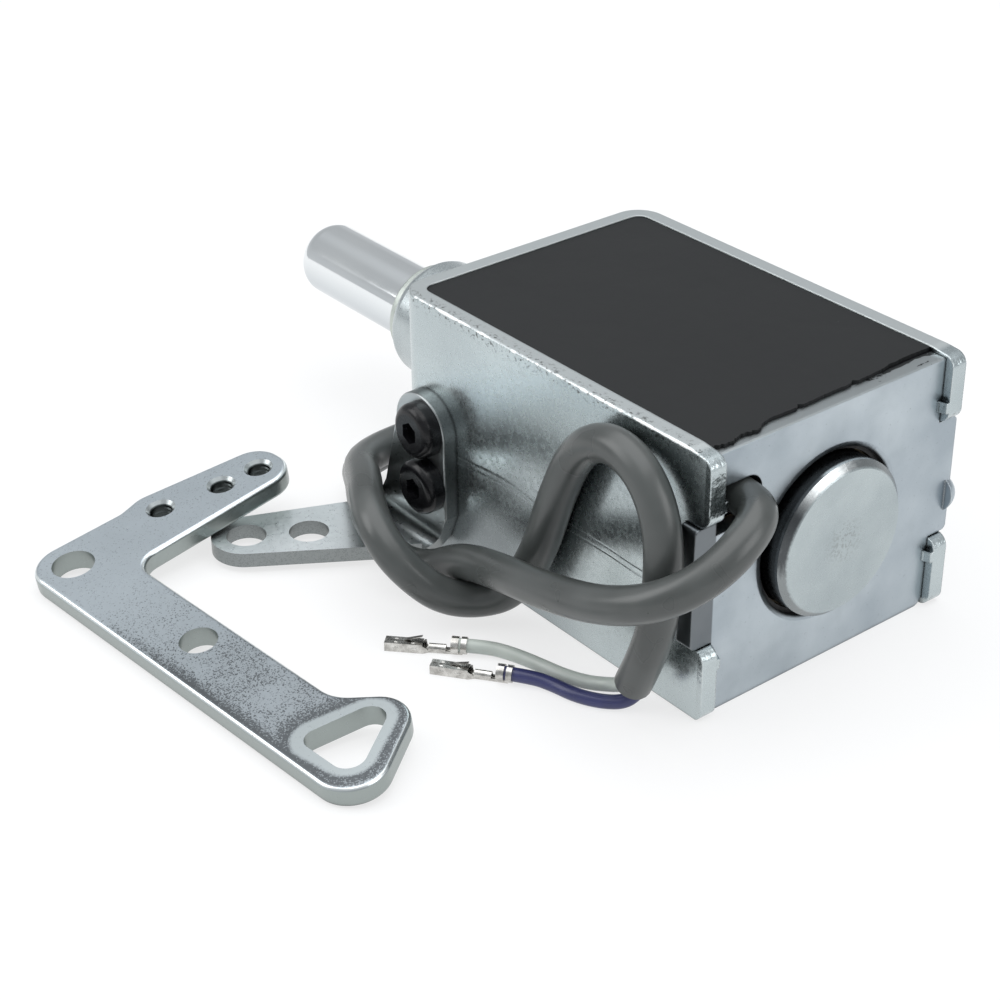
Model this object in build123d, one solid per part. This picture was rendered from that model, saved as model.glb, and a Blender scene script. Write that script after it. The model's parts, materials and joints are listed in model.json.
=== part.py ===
from build123d import *
import math
import os

os.makedirs("parts", exist_ok=True)

# Millimetres. +Z is up and the origin is the middle of the base of the frame.
# The armature's disc shows at the +X end, the push rod comes out at the -X end,
# and the bracket and the cable are on the -Y side.

# The folded frame: one steel strip bent to a U
frame_length = 65.7
frame_width = 47.0
frame_height = 40.0
frame_sheet = 2.6
frame_bend_radius = 4.5
frame_edge_round = 0.35
rear_x = -frame_length / 2
front_x = frame_length / 2
side_y = frame_width / 2
inner_y = side_y - frame_sheet
wall_x = rear_x + frame_sheet
axis_z = frame_height / 2

# The ears at the open end of the frame, staked over the end plate
ear_overhang = 1.4
ear_lower_top = 11.0
ear_upper_height = 10.4
ear_drop = 0.5
ear_corner_radius = 1.8
stake_length = 1.6
stake_bulge = 0.5

# The end plate
plate_sheet = 2.8
plate_side_clearance = 0.05
plate_top_recess = 0.7
plate_edge_round = 0.3
plate_corner_radius = 1.6
plate_front_x = front_x - ear_overhang
plate_rear_x = plate_front_x - plate_sheet
plate_hole_radius = 12.9
tenon_proud = 1.0
tenon_clearance = 0.2
tenon_corner_radius = 0.8
tenon_button_radius = 2.8
tenon_button_rise = 1.5
tenon_button_z = 17.0
tenon_button_margin = 2.0

# The notch in the end plate that the cable comes out of, above the solenoid's axis
notch_width = 7.9
notch_low = 7.5
notch_high = 14.3
notch_lead = 11.3
notch_corner_radius = 2.5

# The insulation sheets that close the frame above and below the coil
sheet_thickness = 0.5
sheet_end_clearance = 0.3
sheet_side_clearance = 0.3
sheet_top_recess = 0.2

# The plunger: armature, push rod and stop washer
armature_radius = 11.45
armature_proud = 3.05
armature_chamfer = 1.0
armature_running_clearance = 0.08
rod_radius = 6.0
rod_reach = 54.0
rod_tip_radius = 3.5
rod_seat_depth = 15.0
rod_running_clearance = 0.04
stroke = 8.0
washer_thickness = 1.0
washer_radius = 8.8
seated_gap = 0.1

# The bobbin, the winding and the sleeve that the armature slides in
sleeve_wall = 0.4
fit_clearance = 0.03
bobbin_tube_wall = 0.86
bobbin_flange = 1.8
bobbin_side_clearance = 0.2
bobbin_end_clearance = 0.1
bobbin_lip_length = 1.2
bobbin_lip_clearance = 0.2
spigot_recess = 1.0
winding_depth = 3.9
winding_tape = 0.25

# The fixed pole with its long boss through the frame's wall
pole_length = 22.4
pole_land_radius = 9.0
pole_seat_depth = 1.6
boss_radius = 9.6
boss_root_radius = 10.0
boss_reach = 22.4
boss_rim_radius = 1.8
pole_bore_clearance = 0.4
bush_wall = 1.4
front_bush_length = 12.0
inner_bush_length = 8.0
bush_flange_radius = 8.0
bush_flange_length = 2.0
bush_flange_round = 0.5
inner_bush_recess = 0.3

# The bracket: a flange on the frame's side and an arm near the floor
bracket_sheet = 2.3
bracket_bend_radius = 2.0
bracket_edge_round = 0.3
arm_top = 3.3
flange_top_x = -25.1
flange_top_z = 20.6
flange_top_radius = 5.8
flange_foot_left = -34.4
flange_foot_z = 8.0
arm_root_left = -39.0
arm_root_right = -22.6
arm_end_x = -41.1
arm_end_y = -46.4
arm_end_radius = 5.4
arm_hole_radius = 3.0
arm_outer_hole = (-41.05, -46.6)
arm_inner_hole = (-36.15, -38.7)

# The two bracket screws
screw_radius = 2.5
screw_head_radius = 4.2
screw_head_height = 2.75
screw_head_round = 1.3
screw_socket_flats = 3.0
screw_socket_depth = 1.6
screw_end_proud = 0.8
screw_hole_clearance = 0.25
screw_thread_clearance = 0.02
upper_screw = (-23.9, 21.5)
lower_screw = (-23.4, 12.5)

# The lift lever, drawn flat: u along its long arm, v across it from its outer edge
lever_sheet = 3.2
lever_edge_round = 0.7
lever_foot_behind_arm = 9.66
lever_foot_beside_arm = 29.8
lever_turn = 4.19
lever_lean_gap = 0.08
lever_long_arm_width = 11.75
lever_short_arm_inner_u = 8.95
lever_short_arm_end = (-0.6, 42.3)
lever_corner_end = (-4.2, 0.0)
lever_slot_end = (74.84, 0.0)
lever_knee = (62.96, 19.99)
lever_step_u = 54.13
lever_bulge = ((-4.3, 21.4), (-3.3, 17.4))
lever_corner_radii = (5.4, 5.3, 4.8, 6.0, 3.3, 4.8, 4.6, 5.0, 3.0)
lever_corner_hole = (1.8, 5.6)
lever_corner_hole_radius = 3.2
lever_middle_hole = (30.6, 7.1)
lever_middle_hole_radius = 2.75
lever_threaded_holes = ((0.7, 22.1), (3.1, 31.7), (4.1, 38.1))
lever_thread_radius = 1.65
lever_thread_sink = 0.6
lever_slot_ends = (((59.2, 5.25), 1.95), ((61.2, 12.1), 2.3), ((64.6, 5.8), 2.45))

# The cable and its two cores
cable_diameter = 5.2
core_diameter = 2.0
run_share = 0.45
splice_radius = 1.4
splice_length = 11.0

# The crimp terminals on the cores
terminal_length = 11.6
terminal_box = 2.2
terminal_strip_width = 1.5
terminal_wall = 0.3
terminal_barrel_length = 2.2
terminal_neck = 0.8
terminal_wire_length = 2.4
terminal_wire_radius = 0.85
terminal_tongue_rise = 0.5
terminal_tongue_share = 0.55
terminal_tongue_width = 0.7
terminal_tab_length = 0.4
terminal_tab_height = 2.4


def x_cylinder(radius, x_from, x_to, y=0.0, z=axis_z):
    """A round bar along X."""
    middle = Pos((x_from + x_to) / 2, y, z)
    return middle * Rot(0, 90, 0) * Cylinder(radius, x_to - x_from)


def y_cylinder(radius, x, z, y_from, y_to):
    """A round bar along Y."""
    middle = Pos(x, (y_from + y_to) / 2, z)
    return middle * Rot(90, 0, 0) * Cylinder(radius, y_to - y_from)


def block(x_from, x_to, y_from, y_to, z_from, z_to):
    """A rectangular block between two corners."""
    size = (x_to - x_from, y_to - y_from, z_to - z_from)
    return Pos((x_from + x_to) / 2, (y_from + y_to) / 2, (z_from + z_to) / 2) * Box(*size)


def turned(outline):
    """A body turned about the solenoid's axis, from (x, radius) points."""
    profile = make_face(Polyline(*[(x, 0, radius) for x, radius in outline], close=True))
    return Pos(0, 0, axis_z) * revolve(profile, Axis.X)


def rim(shape, axis, place):
    """The edges whose middle lies at one place along an axis."""
    near = 0.01
    return shape.edges().filter_by_position(axis, place - near, place + near)


# The plunger's lengths follow from the pole, the stroke and the washer
pole_face_x = wall_x + pole_length
armature_nose_x = pole_face_x + stroke + washer_thickness + seated_gap
armature_front_x = plate_front_x + armature_proud
rod_tip_x = rear_x - rod_reach
rod_end_x = armature_nose_x + rod_seat_depth
boss_end_x = rear_x - boss_reach
bush_bore_radius = rod_radius + rod_running_clearance
bush_radius = bush_bore_radius + bush_wall
sleeve_bore_radius = armature_radius + armature_running_clearance
sleeve_radius = sleeve_bore_radius + sleeve_wall
bobbin_bore_radius = sleeve_radius + fit_clearance
bobbin_tube_radius = bobbin_bore_radius + bobbin_tube_wall
winding_radius = bobbin_tube_radius + winding_depth
bobbin_rear_x = wall_x + bobbin_end_clearance
bobbin_front_x = plate_rear_x - bobbin_end_clearance
top_sheet_top = frame_height - sheet_top_recess
sleeve_end_x = plate_front_x - spigot_recess - bobbin_lip_length
notch_inner_y = -inner_y + notch_width
plate_height = frame_height - plate_top_recess
ear_upper_bottom = frame_height - ear_upper_height
notch_bottom = axis_z + notch_low
notch_top = axis_z + notch_high


def u_frame():
    """The strip bent to a U, slotted for the tenons and drilled for the boss and screws."""
    outer = make_face(FilletPolyline(
        (front_x, -side_y), (rear_x, -side_y), (rear_x, side_y), (front_x, side_y),
        radius=[0, frame_bend_radius, frame_bend_radius, 0], close=True))
    blank = extrude(outer, amount=frame_height)
    rims = rim(blank, Axis.Z, 0) + rim(blank, Axis.Z, frame_height)
    blank = fillet([edge for edge in rims if edge not in rim(blank, Axis.X, front_x)], frame_edge_round)
    inner_radius = frame_bend_radius - frame_sheet
    inner = make_face(FilletPolyline(
        (front_x + 1, -inner_y), (wall_x, -inner_y), (wall_x, inner_y), (front_x + 1, inner_y),
        radius=[0, inner_radius, inner_radius, 0], close=True))
    strip = blank - extrude(inner, amount=frame_height)
    corner = ear_corner_radius
    ear_top = frame_height - ear_drop
    side = make_face(FilletPolyline(
        (rear_x, 0), (front_x, 0), (front_x, ear_lower_top),
        (plate_rear_x, ear_lower_top), (plate_rear_x, ear_upper_bottom),
        (front_x, ear_upper_bottom), (front_x, ear_top),
        (plate_rear_x, frame_height), (rear_x, frame_height),
        radius=[0, corner, corner, 0, 0, corner, corner, 0, 0], close=True))
    sides = extrude(Plane.XZ * side, amount=side_y, both=True)
    body = strip & sides
    for ear_edge, direction in ((ear_lower_top, -1), (ear_upper_bottom, 1)):
        for side_sign in (-1, 1):
            body += stake(ear_edge, direction, side_sign)
    body -= x_cylinder(boss_root_radius + fit_clearance, rear_x - 1, wall_x + 1)
    for x, z in (upper_screw, lower_screw):
        body -= y_cylinder(screw_radius + screw_thread_clearance, x, z, -side_y - 1, -inner_y + 1)
    return body


def stake(ear_edge, direction, side_sign):
    """The metal that a chisel pushes over the end plate at the end of an ear."""
    face_y = side_sign * inner_y
    low = ear_edge + direction * ear_corner_radius
    outline = Polyline(
        (plate_front_x, face_y), (front_x, face_y), (front_x, face_y - side_sign * stake_bulge),
        (plate_front_x, face_y - 2 * side_sign * stake_bulge), close=True)
    wedge = extrude(make_face(outline), amount=stake_length * direction)
    return Pos(0, 0, low) * wedge


def end_plate():
    """The square plate with a round hole, two tenons and a notch for the cable."""
    plate_y = inner_y - plate_side_clearance
    corner = plate_corner_radius
    outline = make_face(FilletPolyline(
        (-plate_y, 0), (plate_y, 0), (plate_y, plate_height), (-plate_y, plate_height),
        radius=[corner, corner, 0, 0], close=True))
    tenon_y = side_y + tenon_proud
    tenon_low = ear_lower_top + tenon_clearance
    tenon_high = ear_upper_bottom - tenon_clearance
    corner = tenon_corner_radius
    tenons = make_face(FilletPolyline(
        (-tenon_y, tenon_low), (tenon_y, tenon_low), (tenon_y, tenon_high),
        (-tenon_y, tenon_high), radius=corner, close=True))
    notch = make_face(FilletPolyline(
        (-plate_y - 1, notch_bottom), (notch_inner_y, notch_bottom),
        (notch_inner_y, notch_top), (-plate_y - 1, notch_top),
        radius=[0, notch_corner_radius, notch_corner_radius, 0], close=True))
    notch -= Pos(-side_y, notch_bottom) * Rectangle(
        2 * (side_y - plate_y), 2 * (tenon_high - notch_bottom))
    face = outline + tenons - notch - Pos(0, axis_z) * Circle(plate_hole_radius)
    plate = Pos(plate_rear_x, 0, 0) * extrude(Plane.YZ * face, amount=plate_sheet)
    front_edges = rim(plate, Axis.X, plate_front_x)
    hole_rim = front_edges.sort_by(SortBy.LENGTH)[-1]
    top_edge = front_edges.sort_by(Axis.Z)[-1]
    return fillet([hole_rim, top_edge], plate_edge_round) + tenon_button()


def tenon_button():
    """The far tenon's end, riveted over to a low button."""
    rise = tenon_button_rise + tenon_proud
    ball_radius = (tenon_button_radius ** 2 + rise ** 2) / (2 * rise)
    middle_x = (plate_front_x + plate_rear_x) / 2
    ball = Pos(middle_x, side_y + rise - ball_radius, tenon_button_z) * Sphere(ball_radius)
    return ball & block(
        plate_rear_x - tenon_button_margin, plate_front_x + tenon_button_margin,
        side_y, side_y + 2 * rise, 0, frame_height)


def inner_outline(end_clearance, side_clearance):
    """The plan of the space inside the frame, drawn in by the two clearances."""
    low_x = wall_x + end_clearance
    high_x = plate_rear_x - end_clearance
    reach_y = inner_y - side_clearance
    corner = frame_bend_radius - frame_sheet
    return make_face(FilletPolyline(
        (high_x, -reach_y), (low_x, -reach_y), (low_x, reach_y), (high_x, reach_y),
        radius=[0, corner, corner, 0], close=True))


def insulation_sheet(bottom_z):
    """A fibre sheet cut to fit between the frame's walls and the end plate."""
    sheet = extrude(inner_outline(sheet_end_clearance, sheet_side_clearance), amount=sheet_thickness)
    return Pos(0, 0, bottom_z) * sheet


def bobbin():
    """The moulded spool: two square flanges on a tube that ends inside the end plate's hole."""
    low = sheet_thickness
    high = top_sheet_top - sheet_thickness
    flanges = extrude(inner_outline(bobbin_end_clearance, bobbin_side_clearance), amount=high - low)
    flanges = Pos(0, 0, low) * flanges
    flanges -= block(
        bobbin_rear_x + bobbin_flange, bobbin_front_x - bobbin_flange,
        -inner_y, inner_y, low, high)
    flanges -= block(
        bobbin_front_x - bobbin_flange, bobbin_front_x,
        -inner_y, notch_inner_y, notch_bottom, notch_top)
    tube = x_cylinder(bobbin_tube_radius, bobbin_rear_x, plate_front_x - spigot_recess)
    bore = x_cylinder(bobbin_bore_radius, bobbin_rear_x, sleeve_end_x)
    mouth = x_cylinder(sleeve_bore_radius + bobbin_lip_clearance, sleeve_end_x, plate_front_x)
    return flanges + tube - bore - mouth


def coil_winding():
    """The enamelled wire, layer on layer between the flanges."""
    start = bobbin_rear_x + bobbin_flange
    end = bobbin_front_x - bobbin_flange
    return x_cylinder(winding_radius, start, end) - x_cylinder(bobbin_tube_radius, start, end)


def coil_tape():
    """The tape wrapped once round the finished winding."""
    start = bobbin_rear_x + bobbin_flange
    end = bobbin_front_x - bobbin_flange
    outer = x_cylinder(winding_radius + winding_tape, start, end)
    return outer - x_cylinder(winding_radius, start, end)


def guide_sleeve():
    """The thin brass tube that lines the bobbin."""
    sleeve = x_cylinder(sleeve_radius, wall_x, sleeve_end_x)
    return sleeve - x_cylinder(sleeve_bore_radius, wall_x, sleeve_end_x)


def pole_piece():
    """The fixed steel pole, turned in one piece with the boss that the rod runs out through."""
    pole_radius = sleeve_bore_radius - fit_clearance
    body = turned([
        (wall_x, 0), (pole_face_x, 0), (pole_face_x, pole_land_radius),
        (pole_face_x + pole_seat_depth, pole_radius), (wall_x, pole_radius)])
    boss = x_cylinder(boss_radius, boss_end_x, rear_x)
    rim = boss.edges().group_by(Axis.X)[0]
    body += fillet(rim, boss_rim_radius) + x_cylinder(boss_root_radius, rear_x, wall_x)
    body -= x_cylinder(rod_radius + pole_bore_clearance, boss_end_x, pole_face_x)
    body -= x_cylinder(bush_radius + fit_clearance, boss_end_x, boss_end_x + front_bush_length)
    inner_start = pole_face_x - inner_bush_recess - inner_bush_length
    return body - x_cylinder(bush_radius + fit_clearance, inner_start, pole_face_x)


def front_rod_bush():
    """The flanged bronze bush in the end of the boss."""
    barrel = x_cylinder(bush_radius, boss_end_x, boss_end_x + front_bush_length)
    flange = x_cylinder(bush_flange_radius, boss_end_x - bush_flange_length, boss_end_x)
    edge = flange.edges().group_by(Axis.X)[0]
    body = barrel + fillet(edge, bush_flange_round)
    return body - x_cylinder(
        bush_bore_radius, boss_end_x - bush_flange_length, boss_end_x + front_bush_length)


def inner_rod_bush():
    """The plain bronze bush behind the pole's face."""
    end = pole_face_x - inner_bush_recess
    start = end - inner_bush_length
    return x_cylinder(bush_radius, start, end) - x_cylinder(bush_bore_radius, start, end)


def armature():
    """The moving iron: a disc face in front, a coned nose behind, bored for the rod."""
    body = turned([
        (armature_nose_x, 0), (armature_nose_x, pole_land_radius),
        (armature_nose_x + pole_seat_depth, armature_radius),
        (armature_front_x - armature_chamfer, armature_radius),
        (armature_front_x, armature_radius - armature_chamfer), (armature_front_x, 0)])
    return body - x_cylinder(rod_radius + fit_clearance, armature_nose_x, rod_end_x)


def push_rod():
    """The chromed rod with a rounded tip, pressed into the armature."""
    rod = x_cylinder(rod_radius, rod_tip_x, rod_end_x)
    tip = rod.edges().group_by(Axis.X)[0]
    return fillet(tip, rod_tip_radius)


def stop_washer():
    """The soft washer on the armature's nose that ends the stroke."""
    start = armature_nose_x - washer_thickness
    washer = x_cylinder(washer_radius, start, armature_nose_x)
    return washer - x_cylinder(rod_radius + fit_clearance, start, armature_nose_x)


def mounting_bracket():
    """The folded bracket: a flange for two screws and a tapered arm with two plain holes."""
    flange_y = -side_y - bracket_sheet
    bend_y = flange_y - bracket_bend_radius
    arm_bottom = arm_top - bracket_sheet
    outer_bend = bracket_bend_radius + bracket_sheet
    far_y = arm_end_y - arm_end_radius
    high = flange_top_z + flange_top_radius
    section = make_face(FilletPolyline(
        (far_y, arm_bottom), (-side_y, arm_bottom), (-side_y, high),
        (flange_y, high), (flange_y, arm_top), (far_y, arm_top),
        radius=[0, outer_bend, 0, 0, bracket_bend_radius, 0], close=True))
    width = flange_top_radius + flange_top_x - arm_end_x + arm_end_radius
    strip = Pos(arm_end_x - arm_end_radius, 0, 0) * extrude(Plane.YZ * section, amount=width)
    left = flange_top_x - flange_top_radius
    right = flange_top_x + flange_top_radius
    flange = make_face(Polyline(
        (arm_root_left, 0), (arm_root_right, 0), (right, flange_foot_z), (right, flange_top_z),
        (left, flange_top_z), (flange_foot_left, flange_foot_z), close=True))
    flange += Pos(flange_top_x, flange_top_z) * Circle(flange_top_radius)
    flange = Pos(0, bend_y, 0) * extrude(Plane.XZ * flange, amount=bend_y + side_y - 1)
    root = Line((arm_root_left, bend_y), (arm_root_right, bend_y))
    end = Pos(arm_end_x, arm_end_y) * Circle(arm_end_radius)
    arm = extrude(make_hull([root, *end.edges()]), amount=high)
    body = strip & (flange + arm)
    flange_edges = rim(body, Axis.Y, flange_y)
    flange_edges = [edge for edge in flange_edges if edge.center().Z > flange_foot_z]
    body = fillet(flange_edges, bracket_edge_round)
    for x, y in (arm_outer_hole, arm_inner_hole):
        body -= Pos(x, y, arm_top) * Cylinder(arm_hole_radius, 3 * bracket_sheet)
    for x, z in (upper_screw, lower_screw):
        body -= y_cylinder(screw_radius + screw_hole_clearance, x, z, flange_y - 1, -side_y + 1)
    return body


def bracket_screw(x, z):
    """A black socket screw with a domed head, screwed into the frame's side."""
    seat_y = -side_y - bracket_sheet
    top_y = seat_y - screw_head_height
    head = y_cylinder(screw_head_radius, x, z, top_y, seat_y)
    head = fillet(head.edges().group_by(Axis.Y)[0], screw_head_round)
    shank = y_cylinder(screw_radius, x, z, seat_y, -inner_y + screw_end_proud)
    socket = RegularPolygon(screw_socket_flats / 2, 6, major_radius=False)
    socket = extrude(Plane(origin=(x, top_y, z), z_dir=(0, 1, 0)) * socket, amount=screw_socket_depth)
    return head + shank - socket


def bracket_screws():
    return Compound(children=[bracket_screw(*upper_screw), bracket_screw(*lower_screw)])


def lever_outline():
    """The L of the lever with its rounded corners, the wide end round the slot last."""
    corners = (
        lever_corner_end, lever_slot_end, lever_knee, (lever_step_u, lever_long_arm_width),
        (lever_short_arm_inner_u, lever_long_arm_width),
        (lever_short_arm_inner_u, lever_short_arm_end[1]), lever_short_arm_end, *lever_bulge)
    return make_face(FilletPolyline(*corners, radius=list(lever_corner_radii), close=True))


def lever_plane():
    """The plane of the lever's underside: its outer edge on the floor, leaning on the arm."""
    turn = math.radians(lever_turn)
    along = Vector(math.cos(turn), math.sin(turn), 0)
    across = Vector(-math.sin(turn), math.cos(turn), 0)
    foot = Vector(arm_end_x - lever_foot_behind_arm, arm_end_y - lever_foot_beside_arm, 0)
    arm_end = Vector(arm_end_x, arm_end_y, 0) - foot
    past_edge = arm_end.dot(along) - lever_short_arm_inner_u
    reach = arm_end.dot(across) - math.sqrt(arm_end_radius ** 2 - past_edge ** 2)
    lean = math.atan2(arm_top + lever_lean_gap, reach)
    up_slope = across * math.cos(lean) + Vector(0, 0, math.sin(lean))
    return Plane(origin=foot, x_dir=along, z_dir=along.cross(up_slope))


def lift_lever():
    """The L-shaped lever: two plain holes, three threaded holes and a three-cornered slot."""
    blank = extrude(lever_outline(), amount=lever_sheet)
    rims = blank.edges().group_by(Axis.Z)
    blank = fillet(list(rims[0]) + list(rims[-1]), lever_edge_round)
    slot = make_hull([edge for (x, y), radius in lever_slot_ends
                      for edge in (Pos(x, y) * Circle(radius)).edges()])
    blank -= extrude(slot, amount=lever_sheet)
    plain_holes = ((lever_corner_hole, lever_corner_hole_radius),
                   (lever_middle_hole, lever_middle_hole_radius))
    for (x, y), radius in plain_holes:
        blank -= Pos(x, y, lever_sheet / 2) * Cylinder(radius, 2 * lever_sheet)
    for x, y in lever_threaded_holes:
        blank -= Pos(x, y, lever_sheet / 2) * Cylinder(lever_thread_radius, 2 * lever_sheet)
        wide = lever_thread_radius + lever_thread_sink
        sink = Cone(lever_thread_radius, wide, lever_thread_sink)
        blank -= Pos(x, y, lever_sheet - lever_thread_sink / 2) * sink
    return lever_plane() * blank


def cord(points, diameter, name):
    """A round cord along straight runs joined by tangent arcs."""
    points = [Vector(point) for point in points]
    radii = []
    for before, corner, after in zip(points, points[1:], points[2:]):
        shorter = min((corner - before).length, (after - corner).length)
        turn = math.radians((corner - before).get_angle(after - corner))
        radii.append(run_share * shorter / math.tan(turn / 2))
    path = FilletPolyline(*points, radius=radii)
    start = Plane(origin=points[0], z_dir=points[1] - points[0])
    tube = sweep(start * Circle(diameter / 2), path=path)
    ratio = tube.volume / (math.pi * diameter ** 2 / 4 * path.length)
    print(name, "length", round(path.length, 1), "volume ratio", round(ratio, 4),
          "radii", [round(radius, 1) for radius in radii])
    return tube


# The cable from its end in the frame to the end of its jacket, on points chosen by hand
cable_route = [
    (27.0, -15.8, 31.3), (31.9, -15.8, 31.3), (35.5, -17.4, 32.0), (38.2, -21.0, 30.9),
    (39.1, -25.4, 28.2), (37.4, -29.8, 25.4), (32.5, -33.4, 22.4), (24.2, -34.9, 19.2),
    (13.1, -34.4, 15.8), (1.1, -32.5, 12.2), (-8.9, -30.8, 8.7), (-14.5, -32.6, 4.7),
    (-19.7, -34.7, 4.6), (-25.8, -34.1, 7.2), (-32.3, -31.1, 7.0), (-38.3, -27.3, 6.5),
    (-45.8, -23.1, 4.3), (-47.4, -17.8, 4.0), (-45.3, -13.6, 6.7), (-41.2, -13.4, 10.2),
    (-37.8, -16.8, 11.6), (-37.4, -24.4, 11.8), (-34.0, -30.6, 13.0), (-27.4, -34.2, 14.4),
    (-22.0, -37.7, 14.7), (-17.1, -40.0, 14.1), (-12.8, -40.4, 11.4), (-9.5, -38.4, 7.7),
    (-7.3, -35.1, 4.0), (-5.0, -30.7, 2.6), (-1.7, -27.5, 5.2), (2.8, -26.4, 13.3),
    (6.8, -26.6, 24.4), (11.4, -26.7, 33.9), (17.7, -26.7, 37.6), (24.3, -27.0, 36.1),
    (28.4, -27.3, 30.6), (29.6, -27.9, 22.9), (28.9, -28.2, 15.1), (26.9, -28.4, 8.8),
    (24.5, -28.0, 4.2)]

# The two cores from the end of the jacket to their terminals, lying on the floor
white_core_route = [
    (23.55, -28.45, 4.66), (22.67, -28.3, 2.98), (20.4, -28.4, 1.8), (17.4, -29.7, 1.05),
    (14.0, -31.2, 1.05), (10.5, -32.0, 1.05), (7.0, -32.9, 1.05), (3.8, -34.2, 1.15),
    (1.6, -36.1, 1.36), (-1.2, -38.7, 1.36)]
blue_core_route = [
    (25.45, -27.55, 3.74), (24.71, -27.43, 2.33), (23.9, -29.0, 1.15), (21.9, -31.1, 1.05),
    (18.6, -32.9, 1.05), (14.6, -33.7, 1.05), (11.9, -35.0, 1.36), (8.0, -37.9, 1.36)]


def splices():
    """The two insulated joints between the coil's ends and the cable's cores."""
    end = cable_route[0][0]
    y = cable_route[0][1]
    z = axis_z + notch_lead
    upper = x_cylinder(splice_radius, end - splice_length, end, y, z + splice_radius)
    lower = x_cylinder(splice_radius, end - splice_length, end, y, z - splice_radius)
    return Compound(children=[upper, lower])


def crimp_terminal(core_route):
    """A folded tin-plated socket contact with a spring tongue, crimped on the end of a core."""
    core_end = Vector(core_route[-1])
    along = (core_end - Vector(core_route[-2])).normalized()
    core_radius = core_diameter / 2
    barrel_radius = core_radius + fit_clearance + terminal_wall
    floor = -core_end.Z
    barrel = x_cylinder(barrel_radius, 0, terminal_barrel_length, 0, 0)
    wire_start = terminal_barrel_length + terminal_neck
    wire_end = wire_start + terminal_wire_length
    box_start = wire_end + terminal_neck
    wire_barrel = x_cylinder(terminal_wire_radius, wire_start, wire_end, 0, floor + terminal_wire_radius)
    half = terminal_strip_width / 2
    strip = block(0, box_start, -half, half, floor, floor + terminal_wall)
    box = block(box_start, terminal_length, -terminal_box / 2, terminal_box / 2,
                floor, floor + terminal_box)
    hollow = terminal_box / 2 - terminal_wall
    box -= block(box_start, terminal_length, -hollow, hollow,
                 floor + terminal_wall, floor + terminal_box - terminal_wall)
    tongue_start = box_start + terminal_tongue_share * (terminal_length - box_start)
    tongue = make_face(Polyline(
        (tongue_start, floor + terminal_box), (box_start, floor + terminal_box + terminal_tongue_rise),
        (box_start, floor + terminal_box + terminal_tongue_rise - terminal_wall),
        (tongue_start, floor + terminal_box - terminal_wall), close=True))
    tongue = extrude(Plane.XZ * tongue, amount=terminal_tongue_width / 2, both=True)
    tab = block(box_start - terminal_neck, box_start - terminal_neck + terminal_tab_length,
                -half, -half + terminal_wall, floor, floor + terminal_tab_height)
    body = barrel + wire_barrel + strip + box + tongue + tab
    body -= x_cylinder(core_radius + fit_clearance, 0, terminal_barrel_length, 0, 0)
    seat = core_end - along * terminal_barrel_length
    return Plane(origin=seat, x_dir=along, z_dir=(0, 0, 1)) * body


pieces = {
    "u_frame": u_frame(),
    "end_plate": end_plate(),
    "bottom_insulation_sheet": insulation_sheet(0),
    "top_insulation_sheet": insulation_sheet(top_sheet_top - sheet_thickness),
    "bobbin": bobbin(),
    "coil_winding": coil_winding(),
    "coil_tape": coil_tape(),
    "guide_sleeve": guide_sleeve(),
    "pole_piece": pole_piece(),
    "front_rod_bush": front_rod_bush(),
    "inner_rod_bush": inner_rod_bush(),
    "armature": armature(),
    "push_rod": push_rod(),
    "stop_washer": stop_washer(),
    "mounting_bracket": mounting_bracket(),
    "bracket_screws": bracket_screws(),
    "lift_lever": lift_lever(),
    "lead_splices": splices(),
    "cable_jacket": cord(cable_route, cable_diameter, "cable"),
    "core_wire_white": cord(white_core_route, core_diameter, "white core"),
    "core_wire_blue": cord(blue_core_route, core_diameter, "blue core"),
    "crimp_terminal_white": crimp_terminal(white_core_route),
    "crimp_terminal_blue": crimp_terminal(blue_core_route),
}
for node, shape in pieces.items():
    export_step(shape, f"parts/{node}.step")
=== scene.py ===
import json
import math
import random

import bmesh
import bpy
from mathutils import Matrix, Vector


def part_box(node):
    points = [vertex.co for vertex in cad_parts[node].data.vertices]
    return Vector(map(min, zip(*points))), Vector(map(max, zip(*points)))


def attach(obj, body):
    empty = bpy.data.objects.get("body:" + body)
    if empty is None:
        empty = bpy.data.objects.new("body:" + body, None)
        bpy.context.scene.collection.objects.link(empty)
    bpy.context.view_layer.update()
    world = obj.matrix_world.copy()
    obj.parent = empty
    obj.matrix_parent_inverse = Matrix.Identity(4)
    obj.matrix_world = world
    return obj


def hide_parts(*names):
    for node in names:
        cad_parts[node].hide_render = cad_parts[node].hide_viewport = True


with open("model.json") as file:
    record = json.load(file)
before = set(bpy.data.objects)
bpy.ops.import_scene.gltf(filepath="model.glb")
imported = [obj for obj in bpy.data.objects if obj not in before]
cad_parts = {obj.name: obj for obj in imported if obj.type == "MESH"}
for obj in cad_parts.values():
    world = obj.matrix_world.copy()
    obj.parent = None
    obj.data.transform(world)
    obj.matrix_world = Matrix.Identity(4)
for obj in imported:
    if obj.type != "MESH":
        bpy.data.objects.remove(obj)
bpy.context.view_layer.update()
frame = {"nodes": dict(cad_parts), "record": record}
nodes = frame["nodes"]

# The camera stands in front of the armature's end and the bracket's side, and half
# above them, with a long lens. Sizes here are metres.
camera_place = (0.197992, -0.186761, 0.170942)
camera_turn = (59.451, 0.534, 51.466)
camera_lens = 77.86
camera_sensor = 36

camera_data = bpy.data.cameras.new("camera")
camera_data.lens = camera_lens
camera_data.sensor_width = camera_sensor
camera_data.clip_start = 0.01
camera = bpy.data.objects.new("camera", camera_data)
camera.location = camera_place
camera.rotation_euler = [math.radians(angle) for angle in camera_turn]
bpy.context.scene.collection.objects.link(camera)
bpy.context.scene.camera = camera
bpy.context.scene.view_settings.view_transform = "Standard"

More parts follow.
